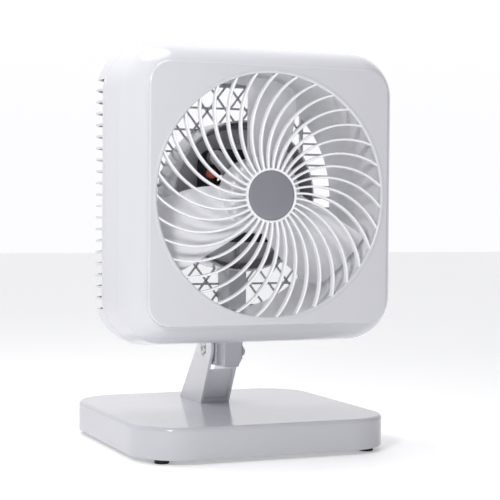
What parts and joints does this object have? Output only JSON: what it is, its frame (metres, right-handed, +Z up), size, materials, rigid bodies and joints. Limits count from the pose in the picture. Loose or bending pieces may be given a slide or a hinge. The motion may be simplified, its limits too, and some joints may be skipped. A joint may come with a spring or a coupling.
{
  "type": "desk fan",
  "caption": "Square-housed desk fan with a spiral-rib front grille, a barred rear grille, an induction motor and a bladed impeller, on a tilting arm and a square base.",
  "frame": {"origin": "centre of the base outline, on the surface the feet stand on", "axes": "+Z up, the front grille faces -Y, +X to the right as seen from the front"},
  "size_m": [0.2694, 0.241, 0.366],
  "materials": {
    "white_shell": "satin white moulding",
    "white_grille": "satin white moulding",
    "white_impeller": "satin white moulding",
    "white_rocker": "glossy white moulding",
    "grey_plate": "fine matt texture",
    "grey_badge": "satin grey insert",
    "foot_rubber": "matt black",
    "zinc_steel": "bright zinc plate",
    "ground_steel": "ground",
    "friction_fibre": "fibre washer",
    "black_plastic": "matt black",
    "brass_tab": "stamped",
    "lead_insulation": "smooth insulation",
    "cast_alloy": "as cast",
    "bronze_bush": "sintered",
    "lamination": "dark varnished sheets",
    "enamelled_copper": "enamelled winding",
    "bare_copper": "bare copper",
    "red_resin": "dipped resin",
    "nylon": "natural nylon"
  },
  "bodies": {
    "stand": {"base_cover": "white_shell", "base_plate": "grey_plate", "base_screws": "zinc_steel", "rubber_feet": "foot_rubber", "cord_gland": "grey_plate", "stand_arm": "white_shell", "arm_screws": "zinc_steel", "pivot_bolt": "zinc_steel", "pivot_nut": "zinc_steel", "pivot_washers": "zinc_steel", "friction_discs": "friction_fibre"},
    "head": {"front_shell": "white_shell", "front_grille": "white_grille", "grille_screws": "zinc_steel", "hub_badge": "grey_badge", "air_duct": "white_shell", "rear_cover": "white_shell", "housing_screws": "zinc_steel", "neck_block": "white_shell", "neck_screws": "zinc_steel", "switch_body": "black_plastic", "switch_terminals": "brass_tab", "motor_leads": "lead_insulation", "motor_plate": "zinc_steel", "plate_screws": "zinc_steel", "front_bracket": "cast_alloy", "front_bearing": "bronze_bush", "rear_bearing": "bronze_bush", "stator_core": "lamination", "coil_bobbins": "black_plastic", "stator_coils": "enamelled_copper", "shading_rings": "bare_copper", "thermal_fuse": "red_resin", "motor_screws": "zinc_steel", "motor_spacers": "zinc_steel"},
    "rotor": {"motor_shaft": "ground_steel", "rotor_core": "lamination", "rotor_rings": "cast_alloy", "thrust_washers": "nylon", "impeller": "white_impeller", "impeller_nut": "nylon"},
    "rocker": {"rocker": "white_rocker"}
  },
  "joints": [
    {"name": "head_tilt", "type": "hinge", "parent": "stand", "child": "head", "pos_m": [0, 0.0226, 0.0851], "axis": [-1, 0, 0], "range_deg": [-15, 40]},
    {"name": "fan_spin", "type": "hinge", "parent": "head", "child": "rotor", "pos_m": [0, -0.05, 0.2303], "axis": [0, 1, 0], "continuous": true},
    {"name": "switch_rock", "type": "hinge", "parent": "head", "child": "rocker", "pos_m": [0.006, -0.01, 0.087], "axis": [0, 1, 0], "range_deg": [0, 18]}
  ]
}
